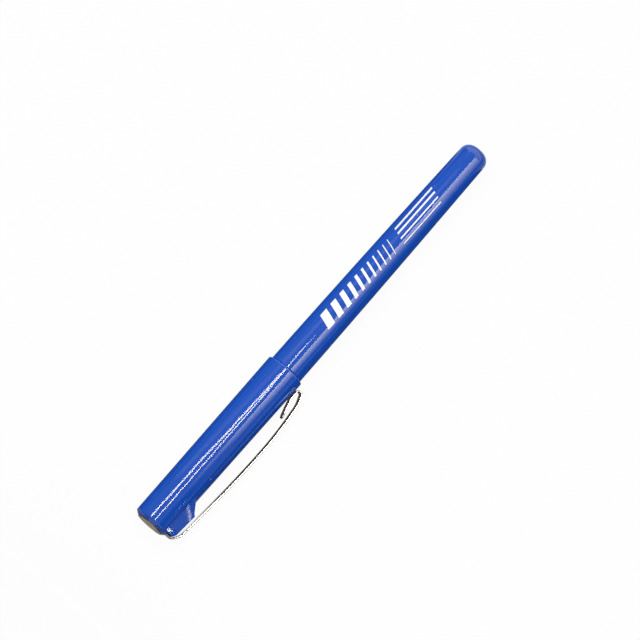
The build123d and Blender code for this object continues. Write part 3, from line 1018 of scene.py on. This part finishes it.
class PEN_OT_stage(bpy.types.Operator):
    """Sets the floor, the lamp, the reflectors and the camera"""

    bl_idname = "pen.stage"
    bl_label = "Studio"
    # Distances of the reflectors from what shows them, and their heights over the floor
    tube_reach = 300 * MM
    panel_reach = 450 * MM
    glint_reach = 40 * MM
    floor_gap = 0.3 * MM
    card_height = 0.15 * MM

    def execute(self, context):
        scene = context.scene
        studio = scene.pen_studio
        scene.view_settings.view_transform = "Standard"
        self.back = Vector((
            -sin(studio.lean),
            -cos(studio.lean) * sin(studio.side),
            cos(studio.lean) * cos(studio.side),
        ))
        self.camera(scene, studio)
        self.floor(studio)
        self.room(scene, studio)
        self.lamp(studio)
        self.reflectors(scene)
        return {"FINISHED"}

    def sheet(self, name, rows, material):
        """A staged sheet over rows of points."""
        mesh = bmesh.new()
        fill(mesh, [[mesh.verts.new(point) for point in row] for row in rows])
        data = settled(name, mesh)
        data.materials.append(material)
        made = show(name, data)
        return made

    def seen_plainly(self, tree):
        """1 for what the camera sees, straight, in a mirror or through glass."""
        path = tree.node("ShaderNodeLightPath", {}, {})
        glossy = path.other("Is Glossy Ray")
        direct = path.other("Is Camera Ray")
        through = path.other("Is Transmission Ray")
        return direct.math("MAXIMUM", direct.math("MAXIMUM", direct, glossy), through)

    def floor(self, studio):
        """A plain floor that keeps a little of the pen's shadow."""
        material = bpy.data.materials.new("pale_floor")
        tree = NodeTree(material)
        plain = tree.node("ShaderNodeBsdfDiffuse", {}, {"Color": studio.floor_colour})
        white = tree.node("ShaderNodeEmission", {}, {"Color": WHITE, "Strength": 1.0})
        share = self.seen_plainly(tree) * studio.floor_glow
        both = tree.node("ShaderNodeMixShader", {}, {0: share, 1: plain, 2: white})
        tree.node("ShaderNodeOutputMaterial", {}, {"Surface": both})
        half = studio.floor_size / 2
        self.sheet("floor", [[(x, y, 0) for y in (-half, half)] for x in (-half, half)], material)

    def room(self, scene, studio):
        """Even light from all round, white where it is seen."""
        scene.world = bpy.data.worlds.new("studio_room")
        tree = NodeTree(scene.world)
        plain = self.seen_plainly(tree)
        shade = tree.mix(plain, (studio.room_light,) * 3, WHITE)
        light = tree.node("ShaderNodeBackground", {}, {"Color": shade, "Strength": 1.0})
        tree.node("ShaderNodeOutputWorld", {}, {"Surface": light})

    def lamp(self, studio):
        """A soft lamp overhead that gloss doesn't show."""
        data = bpy.data.lights.new("soft_lamp", "AREA")
        data.energy = studio.lamp_power
        data.size = studio.lamp_size
        made = show("soft_lamp", data)
        made.location = (0, studio.lamp_side, studio.lamp_height)
        made.rotation_euler.x = -atan2(studio.lamp_side, studio.lamp_height)
        made.visible_glossy = False

    def mirrored(self, s, across, radius, reach):
        """Where a lamp shows in the pen: at s, and across the pen as the camera sees it."""
        square = (self.back - ALONG * self.back.dot(ALONG)).normalized()
        tilt = asin(across / radius)
        normal = square * cos(tilt) + ALONG.cross(square) * sin(tilt)
        point = RIM + ALONG * s + normal * radius
        towards = normal * (2 * normal.dot(self.back)) - self.back
        if towards.z < 0:
            reach = min(reach, (point.z - self.floor_gap) / -towards.z)
        return point + towards * reach

    def glow(self, name, strength, dark):
        """A light whose colour goes from dark to white with the mesh's glow."""
        material = bpy.data.materials.new(name)
        tree = NodeTree(material)
        level = tree.node("ShaderNodeAttribute", {"attribute_name": "glow"}, {}).other("Fac")
        shade = tree.mix(level, dark, WHITE)
        light = tree.node("ShaderNodeEmission", {}, {"Color": shade, "Strength": strength})
        tree.node("ShaderNodeOutputMaterial", {}, {"Surface": light})
        return material

    def reflector(self, name, rows, strength, levels=None, dark=BLACK):
        """A staged sheet that only shows in gloss, from dark at level 0 to white at level 1."""
        made = self.sheet(name, rows, self.glow(name, strength, dark))
        levels = levels or [[1] * len(row) for row in rows]
        attribute = made.data.attributes.new("glow", "FLOAT", "POINT")
        attribute.data.foreach_set("value", [level for row in levels for level in row])
        made.visible_camera = False
        made.visible_diffuse = False
        made.visible_transmission = False
        made.visible_shadow = False
        return made

    def reflectors(self, scene):
        """Everything that the gloss shows; places and widths are in millimetres."""
        cap_r = scene.pen_cap.mouth_d / 2
        barrel_half = scene.pen_barrel.front_d / 2
        tail_middle = BARREL_HIGH.x - 3 * MM
        self.tubes(cap_r, barrel_half)
        self.side_panel(barrel_half)
        self.low_panel(cap_r)
        self.flag()
        self.sky("end_panel", 0, (170, 238), (0, 45), 2.6)
        self.sky("tail_panel", tail_middle, (-64, 64), (3, 60), 3.8)
        self.sky("far_panel", 0, (62, 168), (0, 28), 0.45)
        self.cards()
        self.glint(scene, "flank_glow", [[(2.2, 0.1), (2.4, 0.95)], [(9.4, 0.1), (6.7, 0.95)]], 1.1)
        self.glint(scene, "nose_glint", [[(9.6, 0.05), (6.7, 1)], [(10.5, 0.05), (7.6, 1)]], 17)
        self.glint(scene, "end_glint", [[(1.05, 0.02), (1.2, 0.4)], [(1.2, 0.02), (1.75, 0.45)]], 90)

    def tubes(self, cap_r, barrel_half):
        """Thin lights along the pen: radius, strength, waver and stations of s, place and width."""
        steps = 16
        waver_pitch = 9.3
        strips = {
            "tube_upper": (cap_r, 42, 0.1, [
                (-25, -1.32, 0.38), (13, -1.1, 0.38), (17, -0.74, 0.42), (34, -0.58, 0.38),
                (46, -0.33, 0.35), (55, -0.14, 0.36), (57, -0.36, 0.24), (70, -0.36, 0.05),
            ]),
            "tube_lower": (cap_r, 42, 0.06, [
                (-25, 0.24, 0.26), (6, 0.16, 0.26), (42, 0.04, 0.26),
                (46, -0.15, 0.28), (55, -0.18, 0.3), (57, -0.26, 0.16), (70, -0.3, 0.05),
            ]),
            "haze_cap": (cap_r, 2.0, 0, [(0, -3.15, 0.9), (60, -1.65, 0.9)]),
            "haze_barrel": (barrel_half, 2.6, 0, [(52, -1.9, 0.9), (145, -0.9, 0.7)]),
            "edge_line": (cap_r, 0.9, 0, [(18, 4.5, 0.1), (26, 4.6, 0.26), (46, 4.62, 0.28)]),
            "edge_curl": (cap_r, 3, 0, [(45, 4.6, 0.2), (50, 4.8, 0.3), (53, 5.0, 0.2)]),
        }
        for name, (radius, strength, waver, stations) in strips.items():
            rows = []
            for s, across, width in filled(stations, steps):
                across += waver * sin(tau * s / waver_pitch + across)
                edges = (across - width / 2, across + width / 2)
                rows.append([self.mirrored(s * MM, edge * MM, radius, self.tube_reach) for edge in edges])
            self.reflector(name, rows, strength)

    def side_panel(self, radius):
        """A long soft light beside the pen, bright along its upper edge."""
        stations = [
            (-12, 1.1, 1.3, 0.12), (-3, 1.07, 1.35, 0.12), (20, 0.985, 1.6, 0.6),
            (41, 0.87, 1.7, 1), (55, 0.83, 1.75, 1), (58, 0.94, 1.75, 1),
            (62, 0.93, 1.78, 1), (125, 0.66, 2.6, 0.95), (185, 0.42, 3.2, 0.9),
        ]
        along_steps = 4
        across_steps = 12
        fall = 1.5
        shares = spaced(0, 1, across_steps)
        rows = []
        levels = []
        for s, upper, width, level in filled(stations, along_steps):
            places = [(upper + width * share) * MM for share in shares]
            rows.append([self.mirrored(s * MM, across, radius, self.panel_reach) for across in places])
            levels.append([level * (1 - share) ** fall for share in shares])
        self.reflector("side_panel", rows, 18, levels)

    def low_panel(self, radius):
        """A dim light low beside the cap, which fades out towards its end."""
        fade = [(-50, 0), (-12, 0), (-5, 0.15), (1, 0.55), (7, 0.8), (14, 1)]
        edges = (1.9 * MM, 3.45 * MM)
        rows = []
        for s, level in fade:
            rows.append([self.mirrored(s * MM, edge, radius, self.panel_reach) for edge in edges])
        levels = [[level, level] for s, level in fade]
        self.reflector("low_panel", rows, 1.0, levels, (0.16, 0.14, 0.12))

    def flag(self):
        """A black card off the cap's end that keeps the room's light from the crown."""
        x = RIM.x - 30 * MM
        heights = (1 * MM, 70 * MM)
        sides = (-60 * MM, 60 * MM)
        made = self.reflector("end_flag", [[(x, y, z) for z in heights] for y in sides], 0.02)
        made.visible_diffuse = True
        made.visible_glossy = False

    def sky(self, name, middle, azimuths, elevations, strength):
        """A panel at the horizon, between two azimuths and two elevations in degrees."""
        steps = 8
        rows = []
        for azimuth in map(radians, spaced(*azimuths, steps)):
            column = []
            for elevation in map(radians, elevations):
                flat = cos(elevation)
                towards = Vector((cos(azimuth) * flat, sin(azimuth) * flat, sin(elevation)))
                column.append(ALONG * middle + towards * self.panel_reach)
            rows.append(column)
        self.reflector(name, rows, strength)

    def cards(self):
        """Dark cards on the floor that only the gloss shows, so that the steel and the plastic mirror a
        dark floor where the floor is white: painted dark reflections, standing in for the shade on the
        floor round the pen; strips at y of stations of s and level.
        """
        # Painted shade in the gloss: the deep colour under and beside the pen, the warm one off the cap's
        # end.
        deep = (0.085, 0.072, 0.061)
        warm = (0.42, 0.357, 0.302)
        under_arm = [(3, 0.36), (6, 1), (13, 0.45), (18, 0.1), (26, 0), (134, 0)]
        beside_arm = [(3, 0.36), (6, 0.25), (13, 0.06), (18, 0), (26, 0), (134, 0)]
        off_end = [(-40, 1), (-20, 0.15), (-12, 0), (3, 0)]
        plain = [(2, 0), (134, 0)]
        near = [(-60, beside_arm), (-20, beside_arm), (-12, under_arm), (0, under_arm)]
        cards = {
            "near_shade_card": (deep, near),
            "far_shade_card": (deep, [(0, plain), (300, plain)]),
            "end_shade_card": (warm, [(-60, off_end), (18, off_end)]),
        }
        for name, (dark, strips) in cards.items():
            rows = []
            for y, strip in strips:
                rows.append([(RIM.x + s * MM, RIM.y + y * MM, self.card_height) for s, level in strip])
            levels = [[level for s, level in strip] for y, strip in strips]
            self.reflector(name, rows, 1.0, levels, dark)

    def glint(self, scene, name, spots, strength):
        """A card shaped like the light that it makes on the boss's flank: spots of s and height."""
        foot, peak = boss_flank(scene)
        flank = peak - foot
        normal = -(CLIP_OUT * flank.y + CLIP_SIDE * flank.x).normalized()
        rows = []
        for spot in spots:
            row = []
            for s, share in spot:
                at = foot.lerp(peak, share)
                point = place(s * MM, at.x, -at.y)
                back = (self.eye - point).normalized()
                towards = normal * (2 * normal.dot(back)) - back
                row.append(point + towards * self.glint_reach)
            rows.append(row)
        self.reflector(name, rows, strength)

    def camera(self, scene, studio):
        """A far camera, turned so that the pen lies across the picture."""
        flat = (ALONG - self.back * self.back.dot(ALONG)).normalized()
        across = self.back.cross(flat)
        right = flat * cos(studio.turn) - across * sin(studio.turn)
        up = flat * sin(studio.turn) + across * cos(studio.turn)
        target = RIM + right * studio.shift_right + up * studio.shift_up
        data = bpy.data.cameras.new("view")
        data.lens = data.sensor_width * studio.distance / studio.frame_width
        made = show("view", data)
        turned = Matrix((right, up, self.back)).transposed()
        self.eye = target + self.back * studio.distance
        made.matrix_world = Matrix.Translation(self.eye) @ turned.to_4x4()
        scene.camera = made


class PEN_PT_parts(bpy.types.Panel):
    """Lists the steps that dress the pen"""

    bl_label = "Fineliner pen"
    bl_idname = "PEN_PT_parts"
    bl_space_type = "VIEW_3D"
    bl_region_type = "UI"
    bl_category = "Pen"

    def draw(self, context):
        for step in STEPS:
            self.layout.operator(step.bl_idname)


STEPS = (
    PEN_OT_cap,
    PEN_OT_crown,
    PEN_OT_clip,
    PEN_OT_barrel,
    PEN_OT_marks,
    PEN_OT_inside,
    PEN_OT_stage,
)
SETTINGS = {
    "pen_cap": CapSizes,
    "pen_boss": BossSizes,
    "pen_clip": ClipSizes,
    "pen_barrel": BarrelSizes,
    "pen_finishes": Finishes,
    "pen_studio": StudioSizes,
}


def register():
    """Registers the classes and the scene's settings."""
    for cls in (*SETTINGS.values(), *STEPS, PEN_PT_parts):
        bpy.utils.register_class(cls)
    for name, cls in SETTINGS.items():
        setattr(bpy.types.Scene, name, PointerProperty(type=cls))


def unregister():
    """Takes the settings and the classes out again."""
    for name in SETTINGS:
        delattr(bpy.types.Scene, name)
    for cls in (PEN_PT_parts, *STEPS, *SETTINGS.values()):
        bpy.utils.unregister_class(cls)


def main():
    """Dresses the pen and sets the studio."""
    register()
    for step in STEPS:
        group, name = step.bl_idname.split(".")
        getattr(getattr(bpy.ops, group), name)()


if __name__ == "__main__":
    main()
